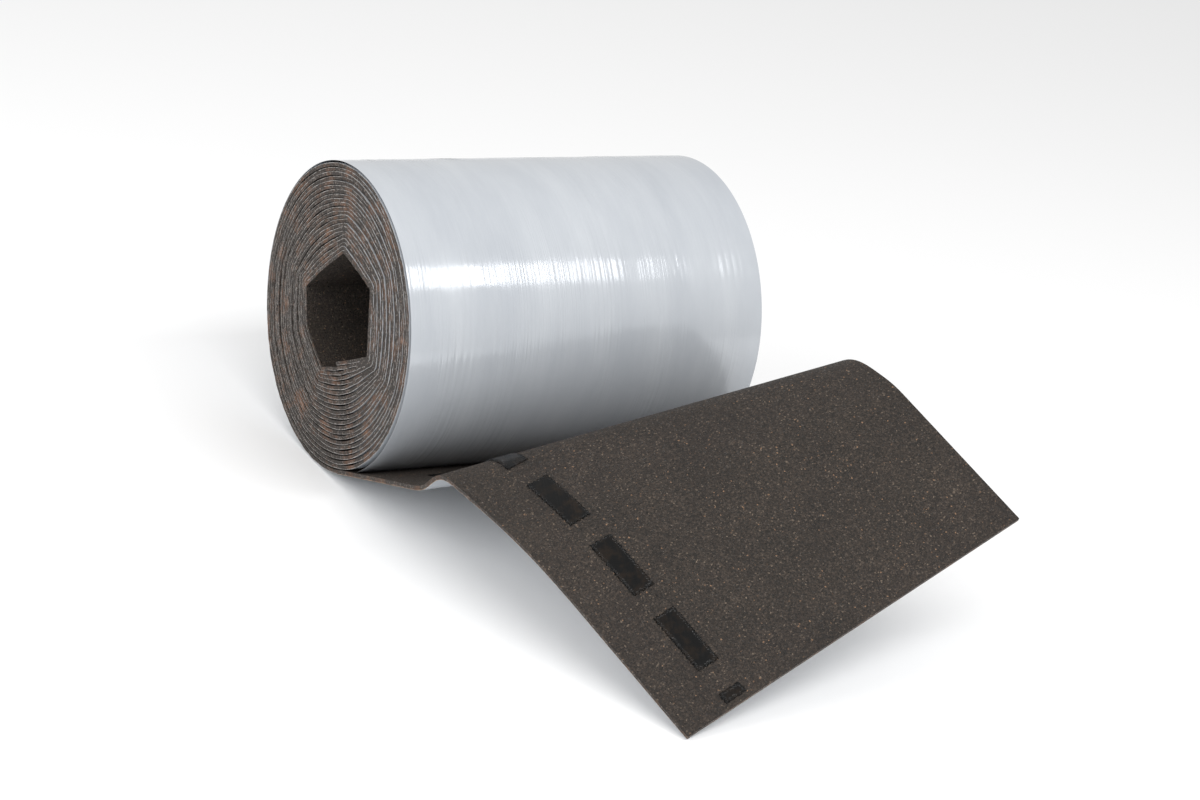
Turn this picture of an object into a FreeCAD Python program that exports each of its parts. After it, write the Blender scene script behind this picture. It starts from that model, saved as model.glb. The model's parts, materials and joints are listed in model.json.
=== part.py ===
# A roll of starter shingle: one granule-coated asphalt strip, wound up, with a free tail.
#
# Frame: +X runs along the roll's axis from the end that carries the sealant line, the tail
# leaves the roll towards -Y, and +Z is up. The roll is built with the near end of its axis
# above the origin, on the floor at z = 0, and is then moved so that the origin is the bottom
# centre of the box around the whole object.

import FreeCAD, Part
import Sketcher
import math
import os

from FreeCAD import Placement, Rotation, Vector

os.makedirs("parts", exist_ok=True)
doc = FreeCAD.newDocument("starter_shingle_roll")

# ---------------------------------------------------------------- driving sizes

# alias, millimetres, degrees or a count, and what it is
SIZES = (
    ("strip_width", 228.6, "width of the strip, nine inches"),
    ("strip_thick", 2.4, "mat, asphalt, granules and film together"),
    ("roll_radius", 87.4, "outside of the outermost turn"),
    ("joint_wide", 0.5, "open joint between two turns on a roll end"),
    ("joint_deep", 1.6, "how deep that joint is"),
    ("crease_round", 7, "rounding of the bore's creases"),
    ("tail_length", 324, "free strip, from where it leaves the roll to its cut end"),
    ("tail_bite", 0.15, "how far the tail's underside starts inside the roll"),
    ("dash_length", 37, "one dash of sealant"),
    ("dash_width", 14, "its width across the strip"),
    ("dash_thick", 0.8, "its height above the granules"),
    ("dash_bite", 0.1, "how far it sinks among the granules"),
    ("dash_inset", 27.5, "from the strip's edge to the sealant line"),
    ("dash_pitch", 52, "from the start of one dash to the next"),
    ("dash_lead", 54, "from where the strip leaves the roll to the first dash"),
    ("dash_end_gap", 3, "bare strip between the last dash and the cut end"),
    ("dash_shortest", 4, "a cut-off dash shorter than this is left out"),
)

sheet = doc.addObject("Spreadsheet::Sheet", "sizes")
for row, (alias, value, meaning) in enumerate(SIZES, start=1):
    sheet.set(f"A{row}", meaning)
    sheet.set(f"B{row}", str(value))
    sheet.setAlias(f"B{row}", alias)
doc.recompute()


def size(alias):
    """The sheet's value as a plain number."""
    return float(sheet.get(alias))


# The bore is creased, not round. Each crease: its angle from +Y towards +Z, and its reach
# from the axis as a share of the roll's radius.
BORE_CREASES = ((5, 0.42), (85, 0.42), (136, 0.50), (188, 0.47), (281, 0.36), (328, 0.39))

# The tail bends in three fans of fold lines. Each fan: where its first and last line cross the
# near edge, the same for the far edge, both in millimetres of strip from where the tail leaves
# the roll, and the whole turn in degrees, downwards positive.
LIFT_FOLD = ((88, 108), (30, 54), -27)
CREST_FOLD = ((109, 134), (170, 211), 57.5)
DROOP_BEND = ((142, 244), (214, 232), 17.2)
FOLDS_IN_FAN = 9
LONGEST_FLAT = 45
UNBENT_AT_START = 3

DASH_STRETCH = 4.0
AXIS_CENTRE = Vector(0, 0, size("roll_radius"))


def around_axis(clock, reach):
    """A point in the roll's end plane, at an angle from +Y towards +Z."""
    angle = math.radians(clock)
    return AXIS_CENTRE + Vector(0, reach * math.cos(angle), reach * math.sin(angle))


# ---------------------------------------------------------------- the free tail

class Bend:
    """A line across the strip, and the flat coordinates after it.

    Flat coordinates run x along the strip, y across it from the near edge, z up from the
    strip's middle. `before` and `after` carry them into space on the two sides of the line.
    """

    def __init__(self, near, far, turn, before):
        self.near = near
        self.far = far
        across = Vector(far - near, size("strip_width"), 0)
        self.before = before
        self.after = before.multiply(Placement(Vector(), Rotation(across, turn), Vector(near, 0, 0)))

    def corner(self, at_far_edge, height):
        if at_far_edge:
            flat = Vector(self.far, size("strip_width"), height)
        else:
            flat = Vector(self.near, 0, height)
        return (self.before.multVec(flat) + self.after.multVec(flat)) * 0.5

    def section(self):
        half = size("strip_thick") / 2
        ring = [self.corner(False, -half), self.corner(True, -half),
                self.corner(True, half), self.corner(False, half)]
        return Part.makePolygon(ring + ring[:1])


def fold_lines():
    """(near, far, turn) of every line across the tail, from the roll to the cut end."""
    lines = [(0.0, 0.0, 0.0)]
    for near_ends, far_ends, whole_turn in (LIFT_FOLD, CREST_FOLD, DROOP_BEND):
        weights = [math.sin(math.pi * (step + 0.5) / FOLDS_IN_FAN) for step in range(FOLDS_IN_FAN)]
        for step, weight in enumerate(weights):
            share = step / (FOLDS_IN_FAN - 1)
            near = near_ends[0] + (near_ends[1] - near_ends[0]) * share
            far = far_ends[0] + (far_ends[1] - far_ends[0]) * share
            lines.append((near, far, whole_turn * weight / sum(weights)))
    lines.append((size("tail_length"), size("tail_length"), 0.0))
    return lines


def with_flats_divided(lines):
    """Adds unbent lines so that no flat stretch is longer than LONGEST_FLAT."""
    full = [lines[0]]
    for line in lines[1:]:
        last = full[-1]
        parts = math.ceil(max(line[0] - last[0], line[1] - last[1]) / LONGEST_FLAT)
        for part in range(1, parts):
            share = part / parts
            near = last[0] + (line[0] - last[0]) * share
            far = last[1] + (line[1] - last[1]) * share
            full.append((near, far, 0.0))
        full.append(line)
    return full


def bent_tail(leave_angle):
    """The tail's bends when it leaves the roll leave_angle degrees past the bottom."""
    seat = size("roll_radius") - size("tail_bite") - size("strip_thick") / 2
    start = around_axis(-90 - leave_angle, seat)
    # strip x runs towards -Y and strip y along +X, so the granule side faces the roll
    lie_flat = Rotation(Vector(0, -1, 0), Vector(1, 0, 0), Vector(0, 0, 1), "XYZ")
    climb = Rotation(Vector(1, 0, 0), -leave_angle)
    placed = Placement(start, climb.multiply(lie_flat))
    bends = []
    for near, far, turn in with_flats_divided(fold_lines()):
        bends.append(Bend(near, far, turn, placed))
        placed = bends[-1].after
    return bends


def floor_contact_turn(point):
    """Degrees that the roll can turn towards -Y before a point of the tail meets the floor."""
    arm = point - AXIS_CENTRE
    reach = math.hypot(arm.y, arm.z)
    if reach <= size("roll_radius"):
        return 360.0
    now = math.degrees(math.atan2(-arm.z, -arm.y))
    return math.degrees(math.asin(size("roll_radius") / reach)) - now


def settled_leave_angle():
    """Where the tail leaves the roll once its lowest corner has come to rest on the floor."""
    underside = [bend.corner(edge, -size("strip_thick") / 2)
                 for bend in bent_tail(0.0)[UNBENT_AT_START:] for edge in (False, True)]
    return -min(floor_contact_turn(point) for point in underside)


def mix(first, second, share):
    return first + (second - first) * share


def on_tail(along, across, height):
    """A point on the bent tail from its flat coordinates."""
    share = across / size("strip_width")
    for last, following in zip(tail_bends, tail_bends[1:]):
        begin = mix(last.near, last.far, share)
        end = mix(following.near, following.far, share)
        if end >= along:
            break
    here = mix(last.corner(False, height), last.corner(True, height), share)
    there = mix(following.corner(False, height), following.corner(True, height), share)
    return mix(here, there, (along - begin) / (end - begin))


leave_angle = settled_leave_angle()
tail_bends = bent_tail(leave_angle)
tail = doc.addObject("Part::Feature", "tail")
tail.Shape = Part.makeLoft([bend.section() for bend in tail_bends], True, True)

# ---------------------------------------------------------------- the wound turns

turns_disc = doc.addObject("PartDesign::Body", "turns_disc")
outline = turns_disc.newObject("Sketcher::SketchObject", "outer_turn")
end_plane = next(item for item in turns_disc.Origin.OriginFeatures if item.Role == "YZ_Plane")
outline.AttachmentSupport = [(end_plane, "")]
outline.MapMode = "FlatFace"
outer_circle = Part.Circle(Vector(0, size("roll_radius"), 0), Vector(0, 0, 1), size("roll_radius"))
outline.addGeometry(outer_circle, False)
outline.addConstraint(Sketcher.Constraint("PointOnObject", 0, 3, -2))
outline.addConstraint(Sketcher.Constraint("Radius", 0, size("roll_radius")))
outline.addConstraint(Sketcher.Constraint("DistanceY", -1, 1, 0, 3, size("roll_radius")))
outline.setExpression("Constraints[1]", "sizes.roll_radius")
outline.setExpression("Constraints[2]", "sizes.roll_radius")
pad = turns_disc.newObject("PartDesign::Pad", "wound_turns")
pad.Profile = outline
pad.setExpression("Length", "sizes.strip_width")


def bore_outline():
    """The creased bore as a closed wire in the near end's plane, its creases rounded."""
    corners = [around_axis(clock, reach * size("roll_radius")) for clock, reach in BORE_CREASES]
    sharp = Part.makePolygon(corners + corners[:1])
    return sharp.makeOffset2D(-size("crease_round")).makeOffset2D(size("crease_round"))


def turn_joints(end_x):
    """Shallow rings cut straight into a roll end where one turn meets the next."""
    rings = []
    foot = AXIS_CENTRE + Vector(end_x, 0, 0)
    along_axis = Vector(1, 0, 0)
    pitch = size("strip_thick")
    reach = size("roll_radius") - pitch
    while reach - size("joint_wide") > widest_crease:
        outer = Part.makeCylinder(reach, size("joint_deep"), foot, along_axis)
        inner = Part.makeCylinder(reach - size("joint_wide"), size("joint_deep"), foot, along_axis)
        rings.append(outer.cut(inner))
        reach -= pitch
    return Part.makeCompound(rings)


widest_crease = max(reach for _, reach in BORE_CREASES) * size("roll_radius")
bore = doc.addObject("Part::Feature", "bore")
bore.Shape = Part.Face(bore_outline()).extrude(Vector(size("strip_width"), 0, 0))
near_joints = doc.addObject("Part::Feature", "near_joints")
near_joints.Shape = turn_joints(0)
far_joints = doc.addObject("Part::Feature", "far_joints")
far_joints.Shape = turn_joints(size("strip_width") - size("joint_deep"))

# ---------------------------------------------------------------- the strip, in one piece

hollow_roll = doc.addObject("Part::Cut", "hollow_roll")
hollow_roll.Base = turns_disc
hollow_roll.Tool = bore
whole_strip = doc.addObject("Part::MultiFuse", "whole_strip")
whole_strip.Shapes = [hollow_roll, tail]
near_end_cut = doc.addObject("Part::Cut", "near_end_cut")
near_end_cut.Base = whole_strip
near_end_cut.Tool = near_joints
shingle_strip = doc.addObject("Part::Cut", "shingle_strip")
shingle_strip.Base = near_end_cut
shingle_strip.Tool = far_joints
shingle_strip.Label = "shingle_strip"
doc.recompute()

# ---------------------------------------------------------------- sealant


def dash_ring(along):
    low = size("strip_thick") / 2 - size("dash_bite")
    high = size("strip_thick") / 2 + size("dash_thick")
    edge = size("dash_inset")
    return [on_tail(along, edge, low), on_tail(along, edge + size("dash_width"), low),
            on_tail(along, edge + size("dash_width"), high), on_tail(along, edge, high)]


def triangle(first, second, third):
    return Part.Face(Part.makePolygon([first, second, third, first]))


def sealant_dash(start, end):
    """One dash, laid over the bent strip as a closed skin of small flat faces."""
    stretches = math.ceil((end - start) / DASH_STRETCH)
    rings = [dash_ring(mix(start, end, step / stretches)) for step in range(stretches + 1)]
    faces = []
    for ring in (rings[0], rings[-1]):
        faces += [triangle(ring[0], ring[1], ring[2]), triangle(ring[0], ring[2], ring[3])]
    for ring, following in zip(rings, rings[1:]):
        for side in range(4):
            turn = (side + 1) % 4
            faces.append(triangle(ring[side], ring[turn], following[turn]))
            faces.append(triangle(ring[side], following[turn], following[side]))
    skin = Part.makeShell(faces)
    skin.sewShape()
    solid = Part.makeSolid(skin)
    if solid.Volume < 0:
        solid.reverse()
    return solid


sub_parts = [shingle_strip]
dash_start = size("dash_lead")
last_end = size("tail_length") - size("dash_end_gap")
while dash_start + size("dash_shortest") < last_end:
    name = f"sealant_dash_{len(sub_parts)}"
    dash = doc.addObject("Part::Feature", name)
    dash.Shape = sealant_dash(dash_start, min(dash_start + size("dash_length"), last_end))
    dash.Label = name
    sub_parts.append(dash)
    dash_start += size("dash_pitch")

# ---------------------------------------------------------------- check and write

doc.recompute()
for item in doc.Objects:
    if {"Invalid", "Error"} & set(item.State):
        raise RuntimeError(f"{item.Name} is {item.State}")
strip_box = shingle_strip.Shape.BoundBox
to_origin = Vector(-strip_box.Center.x, -strip_box.Center.y, 0)
for item in sub_parts:
    item.Placement = Placement(to_origin, Rotation())
    if item.Shape.isNull() or not item.Shape.isValid() or len(item.Shape.Solids) != 1:
        raise RuntimeError(f"{item.Label} is not one valid solid")
    item.Shape.exportStep(f"parts/{item.Label}.step")
    box = item.Shape.BoundBox
    print(f"{item.Label}: {item.Shape.Volume / 1000:.1f} cm3, {box.XMin:.1f} {box.YMin:.1f} {box.ZMin:.2f}"
          f" to {box.XMax:.1f} {box.YMax:.1f} {box.ZMax:.1f}")
print(f"leaves the roll {leave_angle:.1f} degrees past the bottom")
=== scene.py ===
# %% [markdown]
# # A roll of starter shingle
# The whole thing is one strip: asphalt-soaked mat, crushed stone pressed into one side, a thin
# grey release film on the other. It is wound up with the stone side in, and its free end is
# bent over a fold that somebody made while pulling it open. The CAD frame gives the place and
# size of everything; here the strip gets its real surfaces.

# %% Load the frame
import json
import math

import bpy
import numpy as np
from mathutils import Matrix, Vector


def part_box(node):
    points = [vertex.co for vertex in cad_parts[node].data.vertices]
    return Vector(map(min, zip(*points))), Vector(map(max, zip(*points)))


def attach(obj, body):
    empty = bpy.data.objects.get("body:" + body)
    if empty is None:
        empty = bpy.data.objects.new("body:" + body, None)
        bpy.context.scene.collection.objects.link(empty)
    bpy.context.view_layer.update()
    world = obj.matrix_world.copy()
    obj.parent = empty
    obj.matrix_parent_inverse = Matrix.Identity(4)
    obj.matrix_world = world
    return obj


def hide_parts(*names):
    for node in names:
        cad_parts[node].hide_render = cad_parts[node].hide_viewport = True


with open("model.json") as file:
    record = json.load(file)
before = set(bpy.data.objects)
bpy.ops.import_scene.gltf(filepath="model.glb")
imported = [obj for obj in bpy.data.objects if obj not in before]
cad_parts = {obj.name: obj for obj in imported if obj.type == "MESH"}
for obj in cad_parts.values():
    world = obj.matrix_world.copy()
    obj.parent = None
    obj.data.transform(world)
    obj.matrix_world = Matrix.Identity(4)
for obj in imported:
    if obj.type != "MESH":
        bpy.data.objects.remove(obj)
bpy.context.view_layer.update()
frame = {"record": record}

strip_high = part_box("shingle_strip")[1]
mounts = {mount["name"]: mount for mount in frame["record"]["mounts"]}
NEAR_X = mounts["near_end"]["pos_m"][0]
FAR_X = mounts["far_end"]["pos_m"][0]
STRIP_WIDTH = FAR_X - NEAR_X
ROLL_RADIUS = strip_high[2] / 2
AXIS = Vector((NEAR_X, strip_high[1] - ROLL_RADIUS, ROLL_RADIUS))
print("roll radius", round(ROLL_RADIUS, 4), "strip width", round(STRIP_WIDTH, 4))

# %% [markdown]
# ## One strip, one way of laying it
# Every stretch of the strip starts as a flat grid. Its points are then laid along the strip's
# real path, and a Solidify modifier gives the thickness, with its own material for the back
# and for the cut edge. A plane bent with rotate operators fold by fold would give the same
# shape, but the fold lines fan out like a cone's, and a grid laid by formula keeps its cells
# even, which the fine relief needs.

# %% Grid, placing and thickness
MM = 0.001
STRIP_THICK = 2.4 * MM
rng = np.random.default_rng(11)


def deselect():
    if bpy.context.object and bpy.context.object.mode != "OBJECT":
        bpy.ops.object.mode_set(mode="OBJECT")
    bpy.ops.object.select_all(action="DESELECT")


def laid_grid(name, cells_along, cells_across, lay, length, width):
    """A grid whose points are laid by lay(along, across), both from 0 to 1."""
    deselect()
    bpy.ops.mesh.primitive_grid_add(
        x_subdivisions=cells_along, y_subdivisions=cells_across, size=1.0)
    piece = bpy.context.object
    piece.name = piece.data.name = name
    mesh = piece.data
    flat = np.empty(len(mesh.vertices) * 3)
    mesh.vertices.foreach_get("co", flat)
    flat = flat.reshape(-1, 3)
    along = flat[:, 0] + 0.5
    across = flat[:, 1] + 0.5
    mesh.vertices.foreach_set("co", np.ascontiguousarray(lay(along, across)).ravel())
    corner = np.empty(len(mesh.loops), dtype=np.int32)
    mesh.loops.foreach_get("vertex_index", corner)
    uv = np.column_stack((along[corner] * length, across[corner] * width))
    mesh.uv_layers.active.data.foreach_set("uv", uv.ravel())
    mesh.update()
    return piece


def thicken(piece, thickness, offset):
    """Gives the sheet its thickness: back in material 2, cut edge in material 3."""
    points = len(piece.data.vertices)
    solid = piece.modifiers.new("thickness", "SOLIDIFY")
    solid.thickness = thickness
    solid.offset = offset
    solid.material_offset = 1
    solid.material_offset_rim = 2
    bpy.context.view_layer.objects.active = piece
    bpy.ops.object.modifier_apply(modifier="thickness")
    depth = piece.data.attributes.new("depth", "FLOAT", "POINT")
    values = np.zeros(len(piece.data.vertices))
    values[points:] = 1.0
    depth.data.foreach_set("value", values)


def smooth(piece, angle=40):
    deselect()
    piece.select_set(True)
    bpy.context.view_layer.objects.active = piece
    bpy.ops.object.shade_smooth_by_angle(angle=math.radians(angle))
    piece.select_set(False)


def ripple(points, count, shortest, longest):
    """Soft uneven waves along one length, from a few sines of random phase, about -1 to 1."""
    waves = np.zeros_like(points)
    for _ in range(count):
        wave = math.exp(rng.uniform(math.log(shortest), math.log(longest)))
        waves += np.sin(points * 2 * math.pi / wave + rng.uniform(0, 2 * math.pi))
    return waves / math.sqrt(count)


# %% [markdown]
# ## Materials
# The stone side is crushed slate, about a millimetre across: near-black brown, with the odd tan,
# grey or orange grain and a glint on a few. A Voronoi texture gives one random colour and one
# bump to each grain.

# %% Node helpers
def new_material(name):
    material = bpy.data.materials.new(name)
    material.use_nodes = True
    return material, material.node_tree.nodes, material.node_tree.links


def ramp(nodes, stops):
    node = nodes.new("ShaderNodeValToRGB")
    while len(node.color_ramp.elements) < len(stops):
        node.color_ramp.elements.new(0.5)
    for element, (place, colour) in zip(node.color_ramp.elements, stops):
        element.position = place
        element.color = (*colour, 1.0)
    return node


def mix_colour(nodes, links, factor, first, second, blend="MIX"):
    node = nodes.new("ShaderNodeMix")
    node.data_type = "RGBA"
    node.blend_type = blend
    for socket, value in (("Factor", factor), ("A", first), ("B", second)):
        target = next(item for item in node.inputs if item.name == socket
                      and item.type == ("VALUE" if socket == "Factor" else "RGBA"))
        if isinstance(value, bpy.types.NodeSocket):
            links.new(value, target)
        else:
            target.default_value = value
    return next(item for item in node.outputs if item.type == "RGBA")


def noise(nodes, links, place, scale, detail=4.0, roughness=0.6):
    node = nodes.new("ShaderNodeTexNoise")
    node.inputs["Scale"].default_value = scale
    node.inputs["Detail"].default_value = detail
    node.inputs["Roughness"].default_value = roughness
    links.new(place, node.inputs["Vector"])
    return node.outputs["Fac"]


def bump(nodes, links, height, distance, strength=1.0, under=None):
    node = nodes.new("ShaderNodeBump")
    node.inputs["Distance"].default_value = distance
    node.inputs["Strength"].default_value = strength
    links.new(height, node.inputs["Height"])
    if under is not None:
        links.new(under, node.inputs["Normal"])
    return node.outputs["Normal"]


# %% Stone granules
GRAIN = 0.72 * MM


def granule_material():
    material, nodes, links = new_material("slate_granules")
    shader = nodes["Principled BSDF"]
    place = nodes.new("ShaderNodeTexCoord").outputs["Object"]
    grains = nodes.new("ShaderNodeTexVoronoi")
    grains.inputs["Scale"].default_value = 1 / GRAIN
    grains.inputs["Randomness"].default_value = 1.0
    links.new(place, grains.inputs["Vector"])
    pick = nodes.new("ShaderNodeSeparateColor")
    links.new(grains.outputs["Color"], pick.inputs["Color"])
    body = ramp(nodes, ((0.0, (0.009, 0.007, 0.005)), (0.45, (0.021, 0.015, 0.011)),
                        (0.85, (0.036, 0.026, 0.019)), (0.98, (0.062, 0.047, 0.036)),
                        (1.0, (0.15, 0.115, 0.085))))
    links.new(pick.outputs["Red"], body.inputs["Fac"])
    patches = ramp(nodes, ((0.35, (0.82, 0.80, 0.78)), (0.65, (1.15, 1.14, 1.12))))
    links.new(noise(nodes, links, place, 28.0), patches.inputs["Fac"])
    toned = mix_colour(nodes, links, 1.0, body.outputs["Color"], patches.outputs["Color"],
                       "MULTIPLY")
    rare = ramp(nodes, ((0.994, (0, 0, 0)), (0.998, (1, 1, 1))))
    links.new(pick.outputs["Green"], rare.inputs["Fac"])
    colour = mix_colour(nodes, links, rare.outputs["Color"], toned, (0.24, 0.14, 0.08, 1.0))
    links.new(colour, shader.inputs["Base Color"])
    gloss = ramp(nodes, ((0.0, (0.85,) * 3), (0.93, (0.65,) * 3), (0.985, (0.25,) * 3)))
    links.new(pick.outputs["Blue"], gloss.inputs["Fac"])
    links.new(gloss.outputs["Color"], shader.inputs["Roughness"])
    shader.inputs["Specular IOR Level"].default_value = 0.45
    dome = ramp(nodes, ((0.0, (1, 1, 1)), (0.75, (0, 0, 0))))
    links.new(grains.outputs["Distance"], dome.inputs["Fac"])
    coarse = bump(nodes, links, noise(nodes, links, place, 260.0), 0.35 * MM, 0.8)
    grainy = bump(nodes, links, dome.outputs["Color"], 0.45 * MM, 0.9, coarse)
    links.new(grainy, shader.inputs["Normal"])
    return material


# %% [markdown]
# The release film is thin grey plastic. It was stretched on while the asphalt was warm, so it
# carries long fine ridges round the roll, in bunches, over a faint waviness. Some of the ridges
# are in the mesh; the finest are bump, stretched along the strip through the UV map.

# %% Release film
def film_material():
    material, nodes, links = new_material("release_film")
    shader = nodes["Principled BSDF"]
    uv = nodes.new("ShaderNodeTexCoord").outputs["UV"]
    stretch = nodes.new("ShaderNodeMapping")
    stretch.inputs["Scale"].default_value = (7.0, 620.0, 1.0)
    stretch.inputs["Rotation"].default_value = (0, 0, math.radians(0.35))
    links.new(uv, stretch.inputs["Vector"])
    threads = noise(nodes, links, stretch.outputs["Vector"], 1.0, 3.0, 0.55)
    bunch_place = nodes.new("ShaderNodeMapping")
    bunch_place.inputs["Scale"].default_value = (9.0, 34.0, 1.0)
    links.new(uv, bunch_place.inputs["Vector"])
    bunches = ramp(nodes, ((0.42, (0.12,) * 3), (0.62, (1, 1, 1))))
    bunched = noise(nodes, links, bunch_place.outputs["Vector"], 1.0, 2.0, 0.5)
    links.new(bunched, bunches.inputs["Fac"])
    gathered = mix_colour(nodes, links, 1.0, threads, bunches.outputs["Color"], "MULTIPLY")
    cloud = ramp(nodes, ((0.3, (0.43, 0.455, 0.49)), (0.7, (0.52, 0.545, 0.575))))
    links.new(noise(nodes, links, bunch_place.outputs["Vector"], 0.8, 5.0), cloud.inputs["Fac"])
    links.new(cloud.outputs["Color"], shader.inputs["Base Color"])
    worn = ramp(nodes, ((0.3, (0.10,) * 3), (0.7, (0.20,) * 3)))
    links.new(noise(nodes, links, uv, 60.0), worn.inputs["Fac"])
    links.new(worn.outputs["Color"], shader.inputs["Roughness"])
    shader.inputs["Specular IOR Level"].default_value = 0.6
    shader.inputs["Metallic"].default_value = 0.12
    links.new(bump(nodes, links, gathered, 0.35 * MM, 0.9), shader.inputs["Normal"])
    return material


# %% [markdown]
# The cut edge shows the sandwich: black asphalt, rust-brown where the mat was slit, grains that
# catch the light, and the film's pale line at the outside.

# %% Cut edge
CUT_GRAIN = 0.7 * MM


def edge_material(name, rust, film_line):
    material, nodes, links = new_material(name)
    shader = nodes["Principled BSDF"]
    place = nodes.new("ShaderNodeTexCoord").outputs["Object"]
    depth = nodes.new("ShaderNodeAttribute")
    depth.attribute_name = "depth"
    rusty = ramp(nodes, ((0.0, (0.008, 0.006, 0.005)), (0.50, (0.024, 0.016, 0.011)),
                         (0.64, tuple(0.35 * value for value in rust)), (0.82, rust)))
    links.new(noise(nodes, links, place, 95.0, 6.0, 0.72), rusty.inputs["Fac"])
    grains = nodes.new("ShaderNodeTexVoronoi")
    grains.inputs["Scale"].default_value = 1 / CUT_GRAIN
    links.new(place, grains.inputs["Vector"])
    pick = nodes.new("ShaderNodeSeparateColor")
    links.new(grains.outputs["Color"], pick.inputs["Color"])
    glint = ramp(nodes, ((0.86, (0, 0, 0)), (0.94, (1, 1, 1))))
    links.new(pick.outputs["Red"], glint.inputs["Fac"])
    grainy = mix_colour(nodes, links, glint.outputs["Color"], rusty.outputs["Color"],
                        (0.17, 0.14, 0.12, 1.0))
    torn = nodes.new("ShaderNodeMath")
    torn.operation = "MULTIPLY_ADD"
    links.new(noise(nodes, links, place, 420.0, 3.0), torn.inputs[0])
    torn.inputs[1].default_value = 0.55
    links.new(depth.outputs["Fac"], torn.inputs[2])
    reach = nodes.new("ShaderNodeMapRange")
    reach.inputs["From Min"].default_value = 1.12
    reach.inputs["From Max"].default_value = 1.24
    links.new(torn.outputs["Value"], reach.inputs["Value"])
    lined = mix_colour(nodes, links, reach.outputs["Result"], grainy, (*film_line, 1.0))
    links.new(lined, shader.inputs["Base Color"])
    shader.inputs["Roughness"].default_value = 0.6
    dome = ramp(nodes, ((0.0, (1, 1, 1)), (0.8, (0, 0, 0))))
    links.new(grains.outputs["Distance"], dome.inputs["Fac"])
    links.new(bump(nodes, links, dome.outputs["Color"], 0.5 * MM, 0.9), shader.inputs["Normal"])
    return material


granules = granule_material()
film = film_material()
roll_edge = edge_material("slit_edge_of_turns", (0.34, 0.155, 0.075), (0.42, 0.40, 0.38))
tail_edge = edge_material("slit_edge_of_tail", (0.26, 0.12, 0.055), (0.30, 0.20, 0.13))
print("materials", [item.name for item in bpy.data.materials if item.users or item.node_tree])

# %% [markdown]
# ## The free tail
# The strip leaves the roll near the bottom, climbs, is folded up and then over, and sags to the
# floor. Each fold is a fan of lines that run closer together at the near edge. Folding a flat
# sheet about lines never stretches it, so the tail keeps its real length and width.

# %% Fold the tail
TAIL_LENGTH = 324 * MM
LEAVE_ANGLE = 20.7
LINES_IN_FAN = 26
TAIL_BITE = 0.15 * MM  # how far the tail sinks into the roll that it leaves
# near edge from and to, far edge from and to, in millimetres of strip, and degrees downwards
FANS = ((88, 108, 30, 54, -27), (109, 134, 170, 211, 57.5), (142, 244, 214, 232, 17.2))


def fold_lines():
    lines = [(0.0, 0.0, 0.0)]
    for near_from, near_to, far_from, far_to, turn in FANS:
        weights = [math.sin(math.pi * (step + 0.5) / LINES_IN_FAN) for step in range(LINES_IN_FAN)]
        for step, weight in enumerate(weights):
            share = step / (LINES_IN_FAN - 1)
            near = near_from + (near_to - near_from) * share
            far = far_from + (far_to - far_from) * share
            lines.append((near * MM, far * MM, math.radians(turn) * weight / sum(weights)))
    lines.append((TAIL_LENGTH, TAIL_LENGTH, 0.0))
    return lines


def clock_point(x, clock, reach):
    angle = math.radians(clock)
    return Vector((x, AXIS.y + reach * math.cos(angle), AXIS.z + reach * math.sin(angle)))


def bent_lines():
    """Where each fold line's two ends lie in space, and the strip lengths to them."""
    seat = ROLL_RADIUS - TAIL_BITE - STRIP_THICK / 2
    climb = math.radians(LEAVE_ANGLE)
    heading = Vector((0, -math.cos(climb), math.sin(climb)))
    across = Vector((1, 0, 0))
    turned = Matrix((heading, across, heading.cross(across))).transposed()
    place = Matrix.Translation(clock_point(NEAR_X, -90 - LEAVE_ANGLE, seat)) @ turned.to_4x4()
    rows = []
    for near, far, turn in fold_lines():
        foot = Vector((near, 0, 0))
        head = Vector((far, STRIP_WIDTH, 0))
        rows.append((near, far, *(place @ foot), *(place @ head)))
        swing = Matrix.Rotation(turn, 4, (head - foot).normalized())
        place = place @ Matrix.Translation(foot) @ swing @ Matrix.Translation(-foot)
    return np.array(rows)


LINES = bent_lines()


def on_tail(along, across, height=0.0):
    """Points of the bent strip from metres along, 0 to 1 across, and height over its middle."""
    def middle(along, across):
        spots = np.empty((len(along), 3))
        for share in np.unique(across):
            chosen = across == share
            reached = LINES[:, 0] + (LINES[:, 1] - LINES[:, 0]) * share
            for part in range(3):
                track = LINES[:, 2 + part] + (LINES[:, 5 + part] - LINES[:, 2 + part]) * share
                spots[chosen, part] = np.interp(along[chosen], reached, track)
        return spots
    spots = middle(along, across)
    if np.any(height):
        step = 1.5 * MM
        ahead = middle(np.minimum(along + step, TAIL_LENGTH), across)
        ahead -= middle(np.maximum(along - step, 0), across)
        nudge = step / STRIP_WIDTH
        aside = middle(along, np.round(np.minimum(across + nudge, 1), 9))
        aside -= middle(along, np.round(np.maximum(across - nudge, 0), 9))
        normal = np.cross(ahead, aside)
        normal /= np.linalg.norm(normal, axis=1)[:, None]
        spots += normal * np.reshape(height, (-1, 1))
    return spots


def lay_tail(along, across):
    return on_tail(along * TAIL_LENGTH, across)


free_tail = laid_grid("free_tail", 190, 120, lay_tail, TAIL_LENGTH, STRIP_WIDTH)
for material in (granules, film, tail_edge):
    free_tail.data.materials.append(material)
thicken(free_tail, STRIP_THICK, 0.0)
smooth(free_tail)
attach(free_tail, "root")
print("tail corners", LINES[-1, 2:5].round(3), LINES[-1, 5:8].round(3))

# %% [markdown]
# ## The wound turns
# A roll end is where a simple cylinder gives itself away. Here the strip really is wound: one
# ribbon runs from the bore outwards, creased like the bore at first and round at the end.
# Turns sit tight at the sides and a little open above and below, and their edges stand
# slightly proud of each other, as slit stock does.

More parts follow.
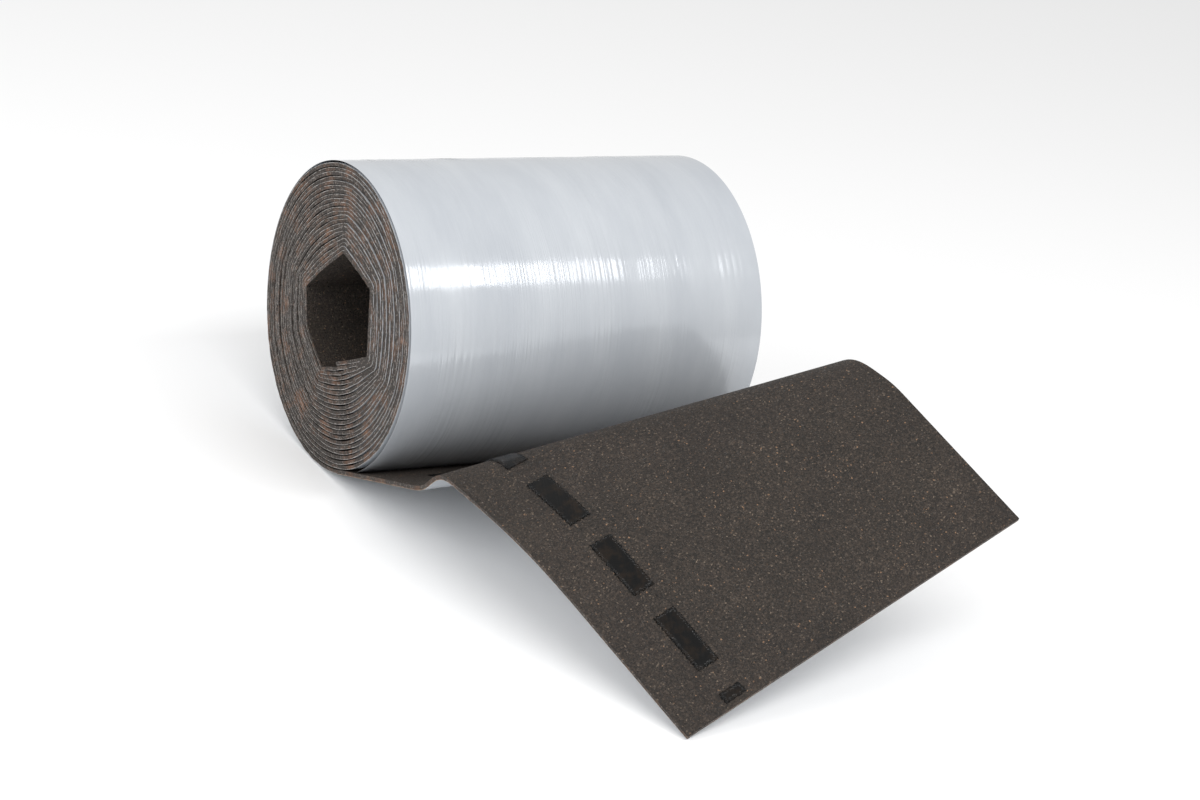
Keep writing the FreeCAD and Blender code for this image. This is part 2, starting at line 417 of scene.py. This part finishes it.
# %% Wind the turns
TURNS = 22
BORE_CREASES = ((5, 0.42), (85, 0.42), (136, 0.50), (188, 0.47), (281, 0.36), (328, 0.39))
STEPS_IN_TURN = 150
TURN_THICK = 2.02 * MM
FILM_STAND = 0.25 * MM
MEAN_TURN_RADIUS = 60 * MM
MEAN_TURN_LENGTH = 380 * MM


TINY = 1e-12       # keeps a ray along a side from dividing by nothing
AT_CORNER = 1e-9   # lets a ray through a corner meet one of its two sides


def bore_reach(clock):
    """Distance from the axis to the creased bore wall at each clock angle."""
    turn = np.radians(clock)
    ray_y, ray_z = np.cos(turn), np.sin(turn)
    reach = np.full_like(turn, np.inf)
    corners = [(share * ROLL_RADIUS * math.cos(math.radians(angle)),
                share * ROLL_RADIUS * math.sin(math.radians(angle)))
               for angle, share in BORE_CREASES]
    for (y0, z0), (y1, z1) in zip(corners, corners[1:] + corners[:1]):
        side_y, side_z = y1 - y0, z1 - z0
        spread = ray_y * side_z - ray_z * side_y
        spread = np.where(np.abs(spread) < TINY, TINY, spread)
        out = (y0 * side_z - z0 * side_y) / spread
        along = (y0 * ray_z - z0 * ray_y) / spread
        hit = (out > 0) & (along >= -AT_CORNER) & (along <= 1 + AT_CORNER)
        reach = np.where(hit, np.minimum(reach, out), reach)
    return reach


def lay_turns(along, across):
    inward = (1 - along) * TURNS
    clock = -90 - LEAVE_ANGLE + 360 * inward
    share = inward / TURNS
    wall = bore_reach(clock % 360) + TURN_THICK / 2
    rim = ROLL_RADIUS - FILM_STAND - TURN_THICK / 2
    metres = inward * 2 * math.pi * MEAN_TURN_RADIUS
    reach = rim + (wall - rim) * share
    inside = np.clip(inward, 0, 1) * np.clip((TURNS - inward) * 2, 0, 1)
    reach = reach + 0.16 * MM * ripple(metres, 6, 0.02, 0.3) * inside
    turn = np.radians(clock)
    proud = 0.45 * MM * ripple(metres, 5, 0.08, 0.9) + 0.12 * MM * ripple(metres, 5, 0.004, 0.02)
    x = NEAR_X + np.where(across < 0.5, np.abs(proud), STRIP_WIDTH - np.abs(proud[::-1]))
    return np.column_stack((x, AXIS.y + reach * np.cos(turn), AXIS.z + reach * np.sin(turn)))


wound_turns = laid_grid("wound_turns", TURNS * STEPS_IN_TURN, 1, lay_turns,
                        TURNS * MEAN_TURN_LENGTH, STRIP_WIDTH)
for material in (granules, film, roll_edge):
    wound_turns.data.materials.append(material)
thicken(wound_turns, TURN_THICK, 0.0)
smooth(wound_turns)
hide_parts("shingle_strip")
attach(wound_turns, "root")
print("turns", TURNS, "faces", len(wound_turns.data.polygons))

# %% [markdown]
# ## The film on the outermost turn
# This is the largest surface that anyone sees, so it is its own fine sheet, with the bunched
# ridges in its shape. It hugs the outermost turn all the way round.

# %% Stretch the film
FILM_THICK = 0.1 * MM
FILM_SINK = 0.09 * MM
FILM_SHORT = 0.6 * MM  # how far the film ends inside each slit edge
RIDGE_BUNCHES = 16


def lay_film(along, across):
    clock = -90 - LEAVE_ANGLE + 360 * (1 - along)
    metres = along * 2 * math.pi * ROLL_RADIUS
    wander = 1.6 * MM * np.sin(metres * 9 + 1.3) + 0.9 * MM * np.sin(metres * 23)
    width = across * STRIP_WIDTH + wander
    ridges = np.zeros_like(width)
    for _ in range(RIDGE_BUNCHES):
        centre = rng.uniform(0, STRIP_WIDTH)
        spread = rng.uniform(4, 12) * MM
        start = rng.uniform(0, 0.55)
        reach = rng.uniform(0.05, 0.16)
        drift = rng.uniform(-0.04, 0.04)
        wave = rng.uniform(2.2, 4.5) * MM
        moved = width - centre - drift * (metres - start)
        ridges += (np.exp(-(moved / spread) ** 2) * np.exp(-((metres - start) / reach) ** 2)
                   * np.sin(moved * 2 * math.pi / wave))
    swell = ripple(width + 0.12 * metres, 5, 0.02, 0.12) * 0.5
    reach = ROLL_RADIUS - FILM_THICK - FILM_SINK + (0.17 * ridges + 0.08 * swell) * MM
    turn = np.radians(clock)
    x = NEAR_X + FILM_SHORT + across * (STRIP_WIDTH - 2 * FILM_SHORT)
    return np.column_stack((x, AXIS.y + reach * np.cos(turn), AXIS.z + reach * np.sin(turn)))


outer_film = laid_grid("outer_film", 280, 150, lay_film, 2 * math.pi * ROLL_RADIUS, STRIP_WIDTH)
for material in (film, film, roll_edge):
    outer_film.data.materials.append(material)
thicken(outer_film, FILM_THICK, 1.0)
smooth(outer_film, 60)
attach(outer_film, "root")
print("film faces", len(outer_film.data.polygons))

# %% [markdown]
# ## The sealant
# Hot black sealant is printed as a broken line. Each dash is a low pillow with a ragged rim,
# where it ran in among the granules and froze in shiny beads. As the nozzle lifted, it drew a
# thin thread to the next dash.

# %% Sealant finish
def sealant_material():
    material, nodes, links = new_material("black_sealant")
    shader = nodes["Principled BSDF"]
    place = nodes.new("ShaderNodeTexCoord").outputs["Object"]
    shader.inputs["Specular IOR Level"].default_value = 0.22
    tint = ramp(nodes, ((0.45, (0.003, 0.003, 0.003)), (0.75, (0.016, 0.010, 0.006))))
    links.new(noise(nodes, links, place, 150.0), tint.inputs["Fac"])
    links.new(tint.outputs["Color"], shader.inputs["Base Color"])
    dull = ramp(nodes, ((0.3, (0.07,) * 3), (0.75, (0.26,) * 3)))
    links.new(noise(nodes, links, place, 210.0), dull.inputs["Fac"])
    links.new(dull.outputs["Color"], shader.inputs["Roughness"])
    beads = nodes.new("ShaderNodeTexVoronoi")
    beads.inputs["Scale"].default_value = 1 / (0.9 * MM)
    links.new(place, beads.inputs["Vector"])
    rim = nodes.new("ShaderNodeAttribute")
    rim.attribute_name = "rim"
    height = mix_colour(nodes, links, rim.outputs["Fac"], (0.5, 0.5, 0.5, 1.0),
                        beads.outputs["Distance"])
    fine = bump(nodes, links, noise(nodes, links, place, 330.0, 3.0), 0.25 * MM, 0.35)
    links.new(bump(nodes, links, height, 0.9 * MM, 1.0, fine), shader.inputs["Normal"])
    return material


sealant = sealant_material()

# %% Lay the dashes and threads
DASH_LENGTH, DASH_WIDTH, DASH_PITCH = 37 * MM, 14 * MM, 52 * MM
DASH_INSET, DASH_LEAD = 27.5 * MM, 54 * MM
LAST_END = TAIL_LENGTH - 3 * MM
SHORTEST_DASH = 4 * MM
DASH_CROWN = 1.0 * MM
BEAD_CELL = 0.45 * MM
SKIRT_DIP = 0.35 * MM
LIP_WIDTH = 0.9 * MM
BEADED_RIM = 2.2 * MM
THREAD_WIDTH, THREAD_CROWN, THREAD_LAP = 0.9 * MM, 0.5 * MM, 1 * MM


def to_rim(along, across, length, width):
    """Metres from a point of a dash to the nearest of its sides."""
    return np.minimum(np.minimum(along, 1 - along) * length,
                      np.minimum(across, 1 - across) * width)


def lay_sealant(start, length, inset, width, crown):
    """A low pillow of sealant over the strip; its skirt dips in among the granules."""
    def lay(along, across):
        edge = to_rim(along, across, length, width)
        near_side = (np.abs(across - 0.5) * 2) ** 4
        near_end = (np.abs(along - 0.5) * 2) ** 6
        ragged = 0.35 * MM * ripple(along * length, 7, 1.2 * MM, 6 * MM) * near_side
        ragged_end = 0.35 * MM * ripple(across * width, 7, 1.2 * MM, 6 * MM) * near_end
        lip = np.clip(edge / LIP_WIDTH, 0, 1)
        height = STRIP_THICK / 2 - SKIRT_DIP + crown * np.sin(lip * math.pi / 2)
        lumps = ripple(along * length + across * width * 1.7, 6, 1.5 * MM, 6 * MM)
        height = height + 0.12 * MM * lumps * lip
        spot_along = start + along * length + ragged_end
        spot_across = np.round((inset + across * width + ragged) / STRIP_WIDTH, 6)
        return on_tail(np.minimum(spot_along, TAIL_LENGTH), spot_across, height)
    return lay


def sealant_piece(name, start, length, inset, width, crown):
    cells_along = max(4, int(length / BEAD_CELL))
    cells_across = max(4, int(width / BEAD_CELL))
    lay = lay_sealant(start, length, inset, width, crown)
    piece = laid_grid(name, cells_along, cells_across, lay, length, width)
    for _ in range(3):
        piece.data.materials.append(sealant)
    flat_along = np.tile(np.linspace(0, 1, cells_along + 1), cells_across + 1)
    flat_across = np.repeat(np.linspace(0, 1, cells_across + 1), cells_along + 1)
    edge = to_rim(flat_along, flat_across, length, width)
    beaded = np.clip(1.15 - edge / BEADED_RIM, 0.06, 1)
    thicken(piece, 0.3 * MM, -1.0)
    rim = piece.data.attributes.new("rim", "FLOAT", "POINT")
    values = np.ones(len(piece.data.vertices))
    values[:len(beaded)] = beaded
    rim.data.foreach_set("value", values)
    smooth(piece, 60)
    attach(piece, "root")
    return piece


dash_start = DASH_LEAD
number = 1
while dash_start + SHORTEST_DASH < LAST_END:
    dash_end = min(dash_start + DASH_LENGTH, LAST_END)
    dash = sealant_piece(f"sealant_{number}", dash_start, dash_end - dash_start,
                         DASH_INSET, DASH_WIDTH, DASH_CROWN)
    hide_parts(f"sealant_dash_{number}")
    if dash_end < LAST_END:
        thread_inset = DASH_INSET + DASH_WIDTH * rng.uniform(0.55, 0.8)
        sealant_piece(f"sealant_thread_{number}", dash_end - THREAD_LAP,
                      DASH_PITCH - DASH_LENGTH + 2 * THREAD_LAP,
                      thread_inset, THREAD_WIDTH, THREAD_CROWN)
    dash_start += DASH_PITCH
    number += 1
print("sealant dashes", number - 1)

# %% [markdown]
# ## Floor, light and camera
# A plain pale floor and soft light from a large panel in front and above, which is what draws
# the broad highlight across the film. The camera looks down a little, along the roll's axis
# side, with a long lens and a slight roll.

# %% Floor
FLOOR_DROP = 0.6 * MM  # clear of the lowest grains, so that they don't cut the floor
deselect()
bpy.ops.mesh.primitive_plane_add(size=60, location=(0, 0, 0))
floor = bpy.context.object
floor.name = "floor"
floor_material, nodes, links = new_material("pale_floor")
nodes["Principled BSDF"].inputs["Base Color"].default_value = (0.93, 0.93, 0.93, 1.0)
nodes["Principled BSDF"].inputs["Roughness"].default_value = 1.0
nodes["Principled BSDF"].inputs["Specular IOR Level"].default_value = 0.0
floor.data.materials.append(floor_material)
floor.location.z = -FLOOR_DROP

# %% Light
world = bpy.data.worlds.new("studio")
bpy.context.scene.world = world
world.use_nodes = True
background = world.node_tree.nodes["Background"]
background.inputs["Color"].default_value = (1.0, 1.0, 1.0, 1.0)
background.inputs["Strength"].default_value = 0.75
seen = world.node_tree.nodes.new("ShaderNodeBackground")
seen.inputs["Color"].default_value = (1.0, 1.0, 1.0, 1.0)
seen.inputs["Strength"].default_value = 1.0
choose = world.node_tree.nodes.new("ShaderNodeMixShader")
path = world.node_tree.nodes.new("ShaderNodeLightPath")
links = world.node_tree.links
links.new(path.outputs["Is Camera Ray"], choose.inputs["Fac"])
links.new(background.outputs["Background"], choose.inputs[1])
links.new(seen.outputs["Background"], choose.inputs[2])
links.new(choose.outputs["Shader"], world.node_tree.nodes["World Output"].inputs["Surface"])


LAMPS_AIM = Vector((0, 0.05, 0.08))


def facing(turn, lift):
    """The way something looks that stands at this turn and height angle around the roll."""
    return Vector((math.sin(turn) * math.cos(lift), math.cos(turn) * math.cos(lift),
                   -math.sin(lift)))


def soft_panel(name, azimuth, elevation, distance, size, size_y, power):
    """An area light that faces the roll."""
    light = bpy.data.lights.new(name, "AREA")
    light.shape = "RECTANGLE"
    light.size, light.size_y = size, size_y
    light.energy = power
    lamp = bpy.data.objects.new(name, light)
    bpy.context.collection.objects.link(lamp)
    turn, lift = math.radians(azimuth), math.radians(elevation)
    away = -facing(turn, lift)
    lamp.location = LAMPS_AIM + away * distance
    lamp.rotation_euler = (-away).to_track_quat("-Z", "Y").to_euler()


soft_panel("front_panel", 0, 52, 1.6, 1.8, 0.42, 16)
soft_panel("left_panel", 80, 30, 1.6, 0.9, 0.9, 8)

# %% Camera
AIM = Vector((0.0591, 0.1220, 0.0242))
AZIMUTH, ELEVATION, ROLL = 34.98, 22.61, 11.35
DISTANCE = 1.791
camera_data = bpy.data.cameras.new("camera")
camera_data.lens = 90
camera_data.sensor_width = 36
camera = bpy.data.objects.new("camera", camera_data)
bpy.context.collection.objects.link(camera)
turn, lift = math.radians(AZIMUTH), math.radians(ELEVATION)
looking = facing(turn, lift)
level = looking.to_track_quat("-Z", "Y").to_matrix().to_4x4()
leaned = Matrix.Rotation(math.radians(ROLL), 4, "Z")
camera.matrix_world = Matrix.Translation(AIM - looking * DISTANCE) @ level @ leaned
bpy.context.scene.camera = camera
bpy.context.scene.view_settings.view_transform = "Standard"
